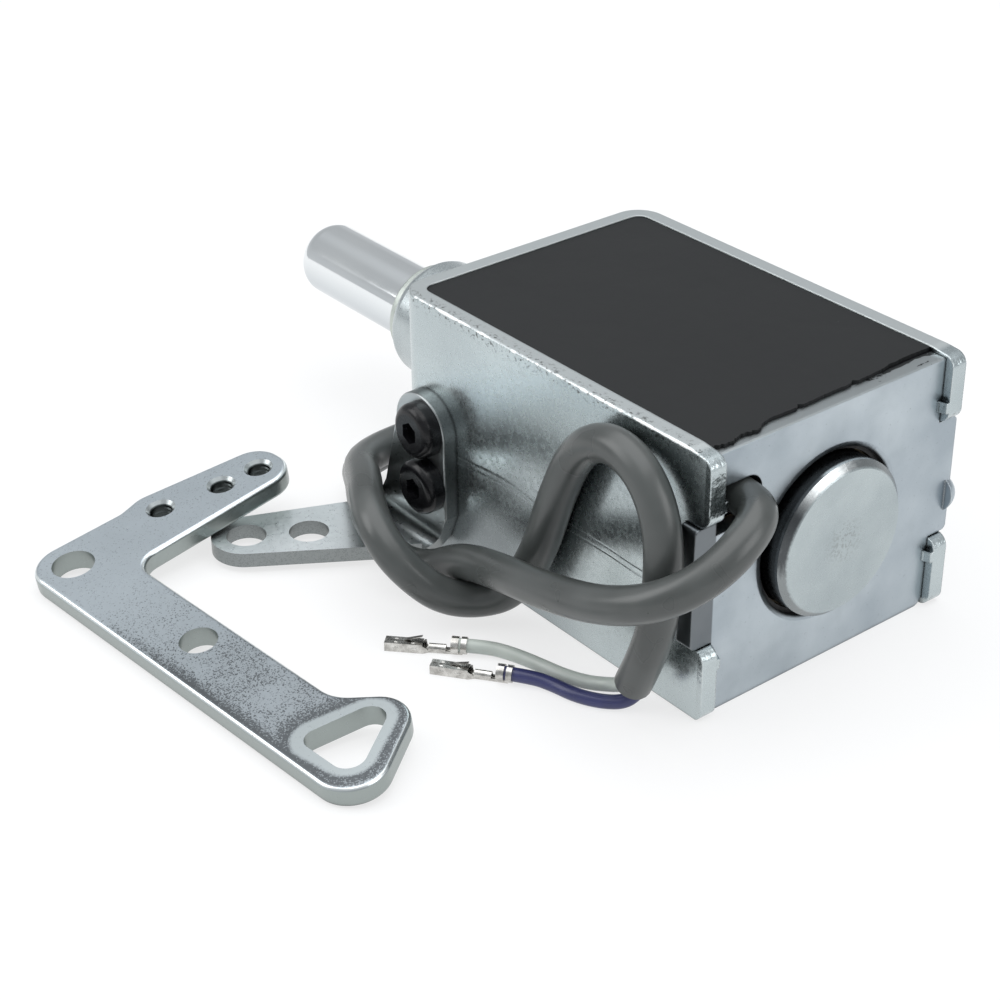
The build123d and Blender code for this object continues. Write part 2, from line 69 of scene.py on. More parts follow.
# The cable is a round sheath of soft grey PVC over two cores. It comes out of the end
# plate's notch, winds once round itself beside the frame and ends above the floor,
# where the sheath is stripped. The route is in millimetres, as it was laid.
mm = 0.001
cable_diameter = 5.2 * mm
cable_route = [
    (27.0, -15.8, 31.3), (31.9, -15.8, 31.3), (35.8, -17.5, 31.6), (37.7, -21.4, 30.5),
    (37.8, -25.9, 27.9), (36.0, -30.2, 25.1), (31.7, -33.6, 22.3), (24.2, -34.9, 19.2),
    (13.1, -34.4, 15.8), (1.1, -32.5, 12.2), (-8.9, -30.8, 8.4), (-14.5, -32.6, 4.7),
    (-19.7, -34.7, 4.6), (-25.8, -34.1, 7.2), (-32.3, -31.1, 7.0), (-38.3, -27.3, 6.5),
    (-45.8, -23.1, 4.3), (-47.4, -17.8, 4.0), (-45.3, -13.6, 6.7), (-41.2, -13.4, 10.2),
    (-37.8, -16.8, 11.6), (-37.4, -24.4, 11.8), (-34.0, -30.6, 13.0), (-27.4, -34.2, 14.4),
    (-22.0, -37.7, 14.7), (-17.1, -40.0, 14.1), (-12.8, -40.4, 11.4), (-9.5, -38.6, 8.1),
    (-7.2, -35.7, 5.1), (-5.0, -31.5, 3.7), (-1.7, -27.5, 5.2), (2.8, -26.4, 13.3),
    (6.8, -26.6, 24.4), (11.4, -26.7, 33.9), (17.7, -26.7, 37.6), (24.3, -27.0, 36.1),
    (28.4, -27.3, 30.6), (29.6, -27.9, 22.9), (28.9, -28.2, 15.1), (26.9, -28.4, 8.8),
    (24.5, -28.0, 4.2)]


def cord_curve(name, route, diameter):
    """A round cord on one smooth spline through the neighbourhood of its route's points."""
    curve = bpy.data.curves.new(name, "CURVE")
    curve.dimensions = "3D"
    curve.bevel_depth = diameter / 2
    curve.bevel_resolution = 8
    curve.resolution_u = 10
    curve.use_fill_caps = True
    spline = curve.splines.new("NURBS")
    spline.points.add(len(route) - 1)
    for point, place in zip(spline.points, route):
        point.co = (*[value * mm for value in place], 1)
    spline.order_u = 3
    spline.use_endpoint_u = True
    cord = bpy.data.objects.new(name, curve)
    bpy.context.scene.collection.objects.link(cord)
    return cord


def new_finish(name):
    """An empty finish: its node tree and its surface shader."""
    finish = bpy.data.materials.new(name)
    finish.use_nodes = True
    return finish, finish.node_tree, finish.node_tree.nodes["Principled BSDF"]


def add_node(tree, kind, settings=None, **sockets):
    """One node with its settings, and with values or links on the named sockets."""
    node = tree.nodes.new("ShaderNode" + kind)
    for name, value in (settings or {}).items():
        setattr(node, name, value)
    for name, value in sockets.items():
        socket = node.inputs[name.replace("_", " ")]
        if isinstance(value, bpy.types.NodeSocket):
            tree.links.new(value, socket)
        else:
            socket.default_value = value
    return node


def place_on(tree, stretch=(1, 1, 1), origin=(0, 0, 0)):
    """The place on the piece in metres, stretched along its axes."""
    place = add_node(tree, "TexCoord").outputs["Object"]
    mapping = add_node(tree, "Mapping", {"vector_type": "TEXTURE"}, Location=origin, Vector=place)
    mapping.inputs["Scale"].default_value = stretch
    return mapping.outputs["Vector"]


def speckle(tree, place, grain, detail=4.0, roughness=0.6):
    """Noise whose patches are about one grain across, in metres."""
    return add_node(tree, "TexNoise", Vector=place, Scale=0.5 / grain, Detail=detail,
                    Roughness=roughness).outputs["Fac"]


def spread(tree, value, low, high, to_low=0.0, to_high=1.0):
    """Turns a range of values into another one, or into 0 to 1, held at its ends."""
    return add_node(tree, "MapRange", Value=value, From_Min=low, From_Max=high,
                    To_Min=to_low, To_Max=to_high).outputs["Result"]


def two_tones(tree, factor, first, second):
    """A colour between two others."""
    mix = add_node(tree, "Mix", {"data_type": "RGBA"})
    sockets = {entry.identifier: entry for entry in (*mix.inputs, *mix.outputs)}
    for name, value in (("Factor_Float", factor), ("A_Color", first), ("B_Color", second)):
        if isinstance(value, bpy.types.NodeSocket):
            tree.links.new(value, sockets[name])
        else:
            sockets[name].default_value = (*value, 1)
    return sockets["Result_Color"]


def join_up(tree, shader, **sockets):
    """Links or sets the named sockets of the surface shader."""
    for name, value in sockets.items():
        socket = shader.inputs[name.replace("_", " ")]
        if isinstance(value, bpy.types.NodeSocket):
            tree.links.new(value, socket)
        else:
            socket.default_value = value


def sheath_finish(name, colour, darker, roughness, grain):
    """Soft plastic drawn over a cord: satin, faintly cloudy, with fine rubbed grain."""
    finish, tree, shader = new_finish(name)
    place = place_on(tree)
    clouds = speckle(tree, place, 6 * grain, 2.0)
    fine = speckle(tree, place, grain, 5.0)
    bump = add_node(tree, "Bump", Height=fine, Strength=0.20, Distance=0.00004)
    tone = two_tones(tree, spread(tree, clouds, 0.35, 0.65), darker, colour)
    gloss = spread(tree, clouds, 0.3, 0.7, roughness - 0.06, roughness + 0.06)
    join_up(tree, shader, Base_Color=tone, Roughness=gloss, Normal=bump.outputs["Normal"])
    shader.inputs["Specular IOR Level"].default_value = 0.60
    return finish


cable = cord_curve("cable", cable_route, cable_diameter)
cable.data.materials.append(
    sheath_finish("cable_pvc", (0.070, 0.076, 0.074), (0.052, 0.057, 0.055), 0.31, 0.0007))
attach(cable, "solenoid_body")
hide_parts("cable_jacket")

# The two cores are tinned copper strands in thin coloured insulation, one pale and one
# blue. They come out of the sheath's end and lie on the floor to their terminals.
core_diameter = 2.0 * mm
core_routes = {
    "white": [
        (23.55, -28.45, 4.66), (22.67, -28.3, 2.98), (20.4, -28.4, 1.8), (17.4, -29.7, 1.05),
        (14.0, -31.2, 1.05), (10.5, -32.0, 1.05), (7.0, -32.9, 1.05), (3.8, -34.2, 1.15),
        (1.6, -36.1, 1.36), (-1.2, -38.7, 1.36)],
    "blue": [
        (25.45, -27.55, 3.74), (24.71, -27.43, 2.33), (23.9, -29.0, 1.15), (21.9, -31.1, 1.05),
        (18.6, -32.9, 1.05), (14.6, -33.7, 1.05), (11.9, -35.0, 1.36), (8.0, -37.9, 1.36)]}
core_tones = {
    "white": ((0.56, 0.60, 0.56), (0.50, 0.55, 0.51)),
    "blue": ((0.036, 0.040, 0.135), (0.028, 0.032, 0.105))}
for colour, route in core_routes.items():
    core = cord_curve(f"core_{colour}", route, core_diameter)
    core.data.materials.append(sheath_finish(f"core_{colour}", *core_tones[colour], 0.33, 0.0005))
    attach(core, "solenoid_body")
    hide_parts(f"core_wire_{colour}")

# Each terminal is stamped from thin tinned brass and folded: a barrel crimped on the
# insulation, a barrel crimped on the strands, a stop tab and a square socket with a
# sprung tongue and two dimples.
terminal_length = 11.6 * mm
tin_sheet = 0.22 * mm
tin_leaf = 0.15 * mm
tin_foot = -1.36 * mm
tin_barrel_radius = core_diameter / 2 + 0.24 * mm
tin_barrel_length = 2.2 * mm
tin_barrel_slit = (0.8 * mm, 1.15 * mm)
tin_neck = 0.8 * mm
tin_crimp_length = 2.4 * mm
tin_crimp_radius = 0.62 * mm
tin_crimp_middle = tin_foot + tin_crimp_radius
tin_crimp_start = tin_barrel_length + tin_neck
tin_crimp_end = tin_crimp_start + tin_crimp_length
tin_box_start = tin_crimp_end + tin_neck
tin_box_half = 1.75 * mm / 2
tin_box_top = tin_foot + 1.4 * mm
tin_gutter_height = 0.5 * mm


def folded(shape, outer, inner, start, end):
    """Sheet folded to an open outline of (y, z) points and run along x, with both faces."""
    near_out, near_in, far_out, far_in = [
        [shape.verts.new((x, y, z)) for y, z in face] for x in (start, end) for face in (outer, inner)]
    for i in range(len(outer) - 1):
        shape.faces.new((near_out[i], near_out[i + 1], far_out[i + 1], far_out[i]))
        shape.faces.new((near_in[i + 1], near_in[i], far_in[i], far_in[i + 1]))
        shape.faces.new((near_out[i + 1], near_out[i], near_in[i], near_in[i + 1]))
        shape.faces.new((far_out[i], far_out[i + 1], far_in[i + 1], far_in[i]))
    for i in (0, -1):
        shape.faces.new((near_out[i], far_out[i], far_in[i], near_in[i]))


def bent(radius, middle_z, first_degree, last_degree, steps):
    """Points on an arc round the core, measured from straight down."""
    arc = []
    for step in range(steps + 1):
        turn = math.radians(first_degree + (last_degree - first_degree) * step / steps)
        arc.append((radius * math.sin(turn), middle_z - radius * math.cos(turn)))
    return arc


def barrel(shape, radius, middle_z, half_turn, start, end):
    """A crimped barrel whose two edges meet at its top."""
    folded(shape, bent(radius, middle_z, -half_turn, half_turn, 24),
           bent(radius - tin_sheet, middle_z, -half_turn, half_turn, 24), start, end)


def leaf(shape, corners, thickness):
    """A flat leaf of sheet on four corners, with its thickness given as a vector."""
    front = [shape.verts.new(corner) for corner in corners]
    back = [shape.verts.new(Vector(corner) + Vector(thickness)) for corner in corners]
    shape.faces.new(front)
    shape.faces.new(back[::-1])
    for i in range(4):
        shape.faces.new((front[i - 1], front[i], back[i], back[i - 1]))


def lump(shape, middle, size, rings=6):
    """A small rounded lump, as of a dimple or a strand's end."""
    made = bmesh.ops.create_uvsphere(shape, u_segments=12, v_segments=rings, radius=1)
    for vert in made["verts"]:
        vert.co = Vector(middle) + Vector([a * b for a, b in zip(vert.co, size)])


def crimps(shape):
    """The two halves of the insulation crimp, and the crimp on the strands."""
    for first, last in ((0.0, tin_barrel_slit[0]), (tin_barrel_slit[1], tin_barrel_length)):
        barrel(shape, tin_barrel_radius, 0, 170, first, last)
    barrel(shape, tin_crimp_radius, tin_crimp_middle, 174, tin_crimp_start, tin_crimp_end)


def gutter(shape):
    """The shallow channel that joins the crimps to the socket."""
    height = tin_foot + tin_gutter_height
    wide, narrow = 0.62 * tin_box_half, 0.5 * tin_box_half
    outside = [(-wide, height), (-narrow, tin_foot), (narrow, tin_foot), (wide, height)]
    floor_height = tin_foot + tin_sheet
    inside = [(tin_sheet - wide, height), (tin_sheet - narrow, floor_height),
              (narrow - tin_sheet, floor_height), (wide - tin_sheet, height)]
    folded(shape, outside, inside, 0.3 * tin_barrel_length, tin_box_start + 0.4 * mm)


def socket(shape):
    """The square socket, open along the seam in its top."""
    seam = 0.06 * tin_box_half
    corners = []
    for half, top, foot in ((tin_box_half, tin_box_top, tin_foot),
                            (tin_box_half - tin_sheet, tin_box_top - tin_sheet, tin_foot + tin_sheet)):
        corners.append([(seam, top), (half, top), (half, foot), (-half, foot), (-half, top), (-seam, top)])
    folded(shape, *corners, tin_box_start, terminal_length)


def dimples(shape):
    """Pressed dimples in the socket's top and sides."""
    box_length = terminal_length - tin_box_start
    side_height = (tin_foot + tin_box_top) / 2
    for share, side in ((0.25, 1), (0.7, 1), (0.7, -1)):
        place = tin_box_start + share * box_length
        lump(shape, (place, 0.5 * tin_box_half * side, tin_box_top), (0.32 * mm, 0.17 * mm, 0.09 * mm))
        lump(shape, (place, side * tin_box_half, side_height), (0.5 * mm, 0.08 * mm, 0.22 * mm))


def tongue(shape, lift):
    """The sprung latch, cut from the socket's top and bent up towards the crimps."""
    root = (tin_box_start + terminal_length) / 2
    tip = tin_box_start + 0.1 * mm
    height = tin_box_top + lift
    leaf(shape, [(root, -0.55 * tin_box_half, tin_box_top), (root, 0.05 * tin_box_half, tin_box_top),
                 (tip, 0.0, height), (tip, -0.5 * tin_box_half, height)], (0, 0, tin_leaf))


def wings(shape):
    """The two walls that slope up from the gutter to the socket."""
    for side in (-1, 1):
        leaf(shape, [(tin_crimp_end, side * 0.55 * tin_box_half, tin_foot),
                     (tin_box_start, side * tin_box_half, tin_foot),
                     (tin_box_start, side * tin_box_half, tin_box_top - 0.25 * tin_box_half),
                     (tin_crimp_end + 0.25 * mm, side * 0.7 * tin_box_half, tin_foot + 0.8 * tin_box_half)],
             (0, -side * tin_leaf, 0))


def stop_tab(shape):
    """The small upright tab before the socket."""
    inner = -0.35 * tin_box_half
    low, high = tin_box_top - 0.6 * tin_box_half, tin_box_top + 0.35 * tin_box_half
    leaf(shape, [(tin_box_start - 0.55 * mm, inner, low), (tin_box_start - 0.1 * mm, inner, low),
                 (tin_box_start - 0.18 * mm, inner, high), (tin_box_start - 0.48 * mm, inner, high)],
         (0, tin_leaf, 0))


def terminal_shape(tongue_lift):
    """The folded terminal along +x, with the core's centreline as its axis."""
    shape = bmesh.new()
    crimps(shape)
    gutter(shape)
    socket(shape)
    dimples(shape)
    tongue(shape, tongue_lift)
    wings(shape)
    stop_tab(shape)
    for side in (-1, 0, 1):
        strand_end = (tin_crimp_end, 0.3 * mm * side, tin_crimp_middle)
        lump(shape, strand_end, (0.45 * mm, 0.16 * mm, 0.2 * mm))
    bmesh.ops.recalc_face_normals(shape, faces=shape.faces)
    return shape


def tin_finish():
    """Bright tin with die marks and a slightly dull bloom."""
    finish, tree, shader = new_finish("terminal_tin")
    place = place_on(tree)
    fine = speckle(tree, place, 0.00012)
    bloom = speckle(tree, place, 0.0008)
    bump = add_node(tree, "Bump", Height=fine, Strength=0.3, Distance=0.00003)
    clouded = spread(tree, bloom, 0.35, 0.65)
    tone = two_tones(tree, clouded, (0.36, 0.35, 0.33), (0.72, 0.71, 0.68))
    join_up(tree, shader, Base_Color=tone, Metallic=1.0, Normal=bump.outputs["Normal"],
            Roughness=spread(tree, bloom, 0.3, 0.7, 0.18, 0.34))
    return finish


def object_of(name, shape, finish, smooth_angle=35):
    """A finished mesh as an object in the scene, smooth up to the given angle."""
    mesh = bpy.data.meshes.new(name)
    shape.to_mesh(mesh)
    shape.free()
    mesh.materials.append(finish)
    mesh.shade_smooth()
    mesh.set_sharp_from_angle(angle=math.radians(smooth_angle))
    piece = bpy.data.objects.new(name, mesh)
    bpy.context.scene.collection.objects.link(piece)
    return piece


tin = tin_finish()
for colour, tongue_lift in (("white", 0.75 * mm), ("blue", 0.55 * mm)):
    before, core_end = (Vector(point) * mm for point in core_routes[colour][-2:])
    along = (core_end - before).normalized()
    across = Vector((0, 0, 1)).cross(along)
    seat = core_end - along * tin_barrel_length
    turned = Matrix((along, across, (0, 0, 1))).transposed().to_4x4()
    shape = terminal_shape(tongue_lift)
    shape.transform(Matrix.Translation(seat) @ turned)
    terminal = object_of(f"terminal_{colour}", shape, tin)
    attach(terminal, "solenoid_body")
    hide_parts(f"crimp_terminal_{colour}")

# The frame is one strip of 2.6 mm steel bent to a U and zinc plated. Its cut edges are
# paler than its faces, the near one is rubbed bright, and two long scores cross the side.
frame_low, frame_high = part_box("u_frame")
plate_low, plate_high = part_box("end_plate")
frame_tone = (0.54, 0.60, 0.61)
frame_dark = (0.45, 0.505, 0.52)
cut_edge_tone = (0.54, 0.575, 0.58)
soot_tone = (0.14, 0.15, 0.15)
chip_tone = (0.16, 0.17, 0.17)
# Colour of the painted dark reflection low on the frame's side beside the bracket.
painted_reflection_tone = (0.13, 0.14, 0.15)
bared_tone = (0.88, 0.90, 0.90)
# Colour of the painted shade where another part stands close.
painted_contact_shade = (0.022, 0.023, 0.024)
cut_edge_depth = 0.0001
bared_width = 0.00036
painted_reflection_heights = (0.020, 0.008)
painted_reflection_places = (0.012, -0.010)
score_heights = (0.0176, 0.0186)
score_half_width = 0.00022
score_depth = 0.00004
score_wander = 0.0007
hammered_depth = 0.00035


def reckon(tree, operation, first, second=0.0):
    """One sum on two values."""
    node = tree.nodes.new("ShaderNodeMath")
    node.operation = operation
    for socket, value in zip(node.inputs, (first, second)):
        if isinstance(value, bpy.types.NodeSocket):
            tree.links.new(value, socket)
        else:
            socket.default_value = value
    return node.outputs["Value"]


def ordinate(tree, axis):
    """The place along X, Y or Z in metres."""
    return add_node(tree, "SeparateXYZ", Vector=place_on(tree)).outputs[axis]


def from_line(tree, axis, through):
    """How far a place is from a line through a point, along X, Y or Z."""
    flat = place_on(tree, [10000 if name == axis else 1 for name in "XYZ"], through)
    return add_node(tree, "VectorMath", {"operation": "LENGTH"}, Vector=flat).outputs["Value"]


def worn_line(tree, axis, through, width):
    """A rubbed line along an edge, wavy and broken, up to the width from it."""
    wavy = spread(tree, speckle(tree, place_on(tree), 0.0016, 5.0, 0.7), 0.40, 0.62, 0.1 * width, width)
    return spread(tree, reckon(tree, "SUBTRACT", from_line(tree, axis, through), wavy),
                  -0.00004, 0.00004, 1.0, 0.0)


def flecks(tree, grain, share):
    """Scattered flecks about one grain across, over a share of the surface."""
    spots = speckle(tree, place_on(tree), grain, 6.0, 0.75)
    return spread(tree, spots, 0.66 - share, 0.70 - share)


def soft_edges(tree, radius):
    """The surface's direction with its sharp edges rounded, and how near an edge lies."""
    rounded = add_node(tree, "Bevel", {"samples": 6}, Radius=radius).outputs["Normal"]
    true = add_node(tree, "NewGeometry").outputs["Normal"]
    match = add_node(tree, "VectorMath", {"operation": "DOT_PRODUCT"})
    tree.links.new(rounded, match.inputs[0])
    tree.links.new(true, match.inputs[1])
    return rounded, spread(tree, match.outputs["Value"], 0.97, 0.80)


def occlusion_shade(tree, reach, strength=0.85):
    """Painted shade that darkens a surface where another surface stands close by."""
    open_share = add_node(tree, "AmbientOcclusion", {"samples": 6}, Distance=reach).outputs["AO"]
    return spread(tree, open_share, 0.38, 0.72, strength, 0.0)


def zinc_finish(name, tone, dark, rough, grain=0.00035, grain_depth=0.000010, clouds=0.009,
                edge=0.00035, edge_tone=(0.76, 0.79, 0.79), marks=None, dents=None, pits=0.0,
                contact=0.0010):
    """Zinc plate on steel: slow clouds, a grain that breaks up reflections, rubbed edges and painted shade
    where other parts stand close.
    """
    finish, tree, shader = new_finish(name)
    place = place_on(tree)
    patches = speckle(tree, place, clouds, 3.0, 0.5)
    grains = speckle(tree, place, grain, 3.0, 0.7)
    shade = two_tones(tree, spread(tree, patches, 0.34, 0.66), dark, tone)
    if pits:
        deep = reckon(tree, "MULTIPLY", flecks(tree, 0.00022, pits), 0.5)
        shade = two_tones(tree, deep, shade, tuple(0.3 * value for value in dark))
    gloss = spread(tree, grains, 0.3, 0.7, *rough)
    normal = None
    if edge:
        normal, rim = soft_edges(tree, edge)
        rubbed = spread(tree, speckle(tree, place, 0.0012), 0.38, 0.6, 0.0, 0.6)
        shade = two_tones(tree, reckon(tree, "MULTIPLY", rim, rubbed), shade, edge_tone)
    for mask, colour, roughness in marks(tree) if marks else ():
        shade = two_tones(tree, mask, shade, colour)
        if roughness:
            kept = reckon(tree, "MULTIPLY", gloss, reckon(tree, "SUBTRACT", 1.0, mask))
            gloss = reckon(tree, "ADD", kept, reckon(tree, "MULTIPLY", mask, roughness))
    # Painted shade: the finish darkens where another surface stands within the contact reach.
    shade = two_tones(tree, occlusion_shade(tree, contact), shade, painted_contact_shade)
    for height, depth in ((grains, grain_depth), *(dents(tree) if dents else ())):
        bump = add_node(tree, "Bump", Height=height, Strength=1.0, Distance=depth)
        if normal:
            tree.links.new(normal, bump.inputs["Normal"])
        normal = bump.outputs["Normal"]
    join_up(tree, shader, Base_Color=shade, Metallic=1.0, Roughness=gloss, Normal=normal)
    return finish


def dress(node, finish):
    """Gives a node of the frame its finish."""
    mesh = nodes[node].data
    mesh.materials.clear()
    mesh.materials.append(finish)


def frame_marks(tree):
    """Pale cut edges, a painted dark reflection low on the side beside the bracket, chipped ears and the
    rubbed near edge.
    """
    near_edge = (0, frame_low.y, frame_high.z)
    height = ordinate(tree, "Z")
    upward = spread(tree, height, frame_high.z - 2 * cut_edge_depth, frame_high.z - cut_edge_depth)
    beside = spread(tree, from_line(tree, "X", near_edge), 0.0008, 0.0020, 1.0, 0.0)
    dirt = reckon(tree, "MULTIPLY", flecks(tree, 0.0003, 0.11), beside)
    chips = reckon(tree, "MULTIPLY", flecks(tree, 0.0007, 0.12),
                   spread(tree, ordinate(tree, "X"), plate_high.x, plate_high.x + 0.0003, 0.0, 0.8))
    # Painted reflection: the side beside the bracket darkens towards the bottom, as a dark reflection of
    # the cable.
    low_side = spread(tree, height, *painted_reflection_heights)
    by_bracket = spread(tree, ordinate(tree, "X"), *painted_reflection_places, 0.0, 0.6)
    painted_reflection = reckon(tree, "MULTIPLY", low_side, by_bracket)
    return ((upward, cut_edge_tone, 0.42), (dirt, soot_tone, None), (painted_reflection, painted_reflection_tone, 0.3),
            (chips, chip_tone, None), (worn_line(tree, "X", near_edge, bared_width), bared_tone, 0.5))


def frame_dents(tree):
    """The two long scores, and the hammered ears."""
    slow = speckle(tree, place_on(tree), 0.012, 1.0)
    wander = spread(tree, slow, 0.3, 0.7, -score_wander, score_wander)
    height = reckon(tree, "ADD", ordinate(tree, "Z"), wander)
    made = []
    for score in score_heights:
        off = reckon(tree, "ABSOLUTE", reckon(tree, "SUBTRACT", height, score))
        made.append((spread(tree, off, 0.0, score_half_width), score_depth))
    staked = spread(tree, ordinate(tree, "X"), plate_high.x - 0.001, plate_high.x)
    hammered = reckon(tree, "MULTIPLY", speckle(tree, place_on(tree), 0.0013, 3.0), staked)
    made.append((hammered, hammered_depth))
    return made


dress("u_frame", zinc_finish("frame_zinc", frame_tone, frame_dark, (0.19, 0.32),
                             grain_depth=0.000008, marks=frame_marks, dents=frame_dents))

# The end plate is punched from 2.8 mm steel and plated greyer and flatter than the
# frame. Its tenons go through the frame's sides, and the ears are staked over it. Black
# cement is smeared along its top edge. Its hole is drawn in to its punched size.
frame_sheet = 0.0026
plate_hole_radius = 0.0129
punched_radius = 0.01235
near_smear_reach = 0.0025
near_smear_ends = (-0.0090, -0.0120)
far_smear_reach = 0.0022
far_smear_ends = (0.0060, 0.0080)
plate_tone = (0.50, 0.555, 0.59)
plate_dark = (0.36, 0.41, 0.45)
smudge_tone = (0.26, 0.30, 0.33)
tenon_tone = (0.085, 0.09, 0.095)
plate_top_tone = (0.37, 0.40, 0.41)
cement_tone = (0.02, 0.021, 0.022)
grime_tone = (0.12, 0.13, 0.13)
# Colour of the painted shade round the hole's rolled rim.
hole_rim_shade_tone = (0.12, 0.13, 0.135)
plate_bared_tone = (0.97, 0.98, 0.98)
plate_bared_width = 0.00075


def plate_marks(tree):
    """Smudges, a dull tenon, a grey top rubbed bright in front, the smeared cement and painted shade round
    the hole.
    """
    height = ordinate(tree, "Z")
    upward = spread(tree, height, plate_high.z - 2 * cut_edge_depth, plate_high.z - cut_edge_depth)
    streaks = speckle(tree, place_on(tree, (1, 3.5, 1)), 0.0007, 4.0, 0.7)
    across = reckon(tree, "SUBTRACT", ordinate(tree, "X"), plate_low.x)
    along = ordinate(tree, "Y")
    near = spread(tree, along, *near_smear_ends, 0.0, near_smear_reach)
    far = spread(tree, along, *far_smear_ends, 0.0, far_smear_reach)
    reach = reckon(tree, "ADD", near, far)
    covered = spread(tree, reckon(tree, "SUBTRACT", across, reach), -0.0003, 0.0004, 0.42, 0.64)
    cement = spread(tree, reckon(tree, "SUBTRACT", streaks, covered), 0.0, 0.02, 0.0, 0.92)
    cement = reckon(tree, "MULTIPLY", cement, upward)
    front_edge = (plate_high.x, 0, plate_high.z)
    below = spread(tree, from_line(tree, "Y", front_edge), 0.0006, 0.0014, 1.0, 0.0)
    dirt = reckon(tree, "MULTIPLY", flecks(tree, 0.0004, 0.06), below)
    # Painted shade: a dark ring round the hole, where the punched edge rolls over.
    hole_rim = (0, 0, frame_high.z / 2)
    off_rim = reckon(tree, "SUBTRACT", from_line(tree, "X", hole_rim), punched_radius)
    rim = spread(tree, reckon(tree, "SUBTRACT", off_rim, reckon(tree, "MULTIPLY", streaks, 0.0006)),
                 -0.0002, 0.0001, 0.75, 0.0)
    tenon_root = frame_low.y + frame_sheet
    tenon = spread(tree, along, tenon_root + 0.0002, tenon_root, 0.0, 0.75)
    smudge = spread(tree, speckle(tree, place_on(tree), 0.006, 3.0), 0.50, 0.72, 0.0, 0.35)
    bared = worn_line(tree, "Y", front_edge, plate_bared_width)
    return ((smudge, smudge_tone, None), (tenon, tenon_tone, 0.3), (upward, plate_top_tone, 0.36),
            (cement, cement_tone, 0.5), (dirt, grime_tone, None), (rim, hole_rim_shade_tone, None),
            (bared, plate_bared_tone, 0.5))


plate_shape = bmesh.new()
plate_shape.from_mesh(nodes["end_plate"].data)
for vert in plate_shape.verts:
    outward = Vector((0, vert.co.y, vert.co.z - frame_high.z / 2))
    if abs(outward.length - plate_hole_radius) < 0.05 * mm:
        vert.co -= outward.normalized() * (plate_hole_radius - punched_radius)
plate = object_of("punched_end_plate", plate_shape, zinc_finish(
    "plate_zinc", plate_tone, plate_dark, (0.28, 0.40), grain_depth=0.000007, clouds=0.008,
    marks=plate_marks, pits=0.03))
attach(plate, "solenoid_body")
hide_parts("end_plate")

# The bracket is folded from 2.3 mm steel, plain grey zinc, with a flange under two
# screws and a tapered arm along the floor.
arm_top_height = 0.0038
bracket_tone = (0.86, 0.91, 0.92)
bracket_dark = (0.74, 0.80, 0.81)
# The upright flange's colour, painted darker than the arm as painted shade.
flange_shade_tone = (0.42, 0.45, 0.455)
sheared_tone = (0.20, 0.215, 0.215)
sheared_dark = (0.09, 0.10, 0.10)
sheared_grain = 0.00016


def facing(tree, direction):
    """How squarely the surface faces a direction, from -1 to 1."""
    normal = add_node(tree, "NewGeometry").outputs["Normal"]
    turned = add_node(tree, "VectorMath", {"operation": "DOT_PRODUCT"}, Vector=normal)
    turned.inputs[1].default_value = direction
    return turned.outputs["Value"]


def granules(tree, size, share):
    """Separate grains that cover a share of the surface."""
    cells = add_node(tree, "TexVoronoi", Vector=place_on(tree), Scale=1 / size).outputs["Color"]
    pick = add_node(tree, "SeparateColor", Color=cells).outputs["Red"]
    return spread(tree, reckon(tree, "SUBTRACT", share, pick), -0.08, 0.08)


def bracket_marks(tree):
    """Flange painted darker than the arm as painted shade, and darker sheared edges."""
    # Painted shade: the upright flange is darker than the arm, though both are the same zinc.
    flange = spread(tree, ordinate(tree, "Z"), arm_top_height, 2 * arm_top_height)
    outward = reckon(tree, "MULTIPLY", facing(tree, (0, -1, 0)), flange)
    upward = reckon(tree, "MULTIPLY", facing(tree, (0, 0, 1)), reckon(tree, "SUBTRACT", 1.0, flange))
    sheared = spread(tree, reckon(tree, "ADD", outward, upward), 0.80, 0.55, 0.0, 0.9)
    speckled = reckon(tree, "MULTIPLY", sheared, granules(tree, sheared_grain, 0.25))
    return ((flange, flange_shade_tone, None), (sheared, sheared_tone, None),
            (reckon(tree, "MULTIPLY", speckled, 0.3), sheared_dark, None))


dress("mounting_bracket", zinc_finish("bracket_zinc", bracket_tone, bracket_dark, (0.26, 0.38),
                                      clouds=0.006, edge=None, marks=bracket_marks, pits=0.05))

# The lift lever is punched from 3.2 mm steel with tumbled, rounded edges. Its zinc thins
# towards the slot, where the grain of the steel shows through. A dark band along one edge
# of the long arm and round the slot is painted reflection, drawn as the same grainy steel.
# It lies loose on the bracket's arm.
lever_holes = {mount["name"]: mount for mount in frame["record"]["mounts"] if "lever" in mount["name"]}
lever_up = Vector(lever_holes["lever_corner_hole"]["axis"]).normalized()
lever_corner, lever_waist = (Vector(lever_holes[name]["pos_m"])
                             for name in ("lever_corner_hole", "lever_middle_hole"))
lever_run = (lever_waist - lever_corner).normalized()
tapped_holes = [mount for mount in lever_holes.values() if mount["kind"] == "threaded_hole"]
corner_hole_uv = (1.8, 5.6)
waist_hole_uv = (30.6, 7.1)
slot_corners = ((59.2, 5.25), (61.2, 12.1), (64.6, 5.8))
slot_radius = 2.2 * mm
lean = math.atan2(waist_hole_uv[1] - corner_hole_uv[1], waist_hole_uv[0] - corner_hole_uv[0])
lever_across = lever_up.cross(lever_run)
lever_u = lever_run * math.cos(lean) - lever_across * math.sin(lean)
lever_v = lever_run * math.sin(lean) + lever_across * math.cos(lean)
lever_tone = (0.60, 0.66, 0.70)
lever_dark = (0.50, 0.555, 0.59)
thin_tone = (0.33, 0.36, 0.385)
# Worn zinc and the painted dark reflection on the lever share these two colours.
wear_and_reflection_tone = (0.22, 0.24, 0.25)
bare_steel_and_reflection_tone = (0.075, 0.08, 0.085)
slot_rim_tone = (0.45, 0.49, 0.50)
lever_side_tone = (0.33, 0.365, 0.355)
round_edge_tone = (0.80, 0.84, 0.84)
countersink_tone = (0.34, 0.37, 0.375)
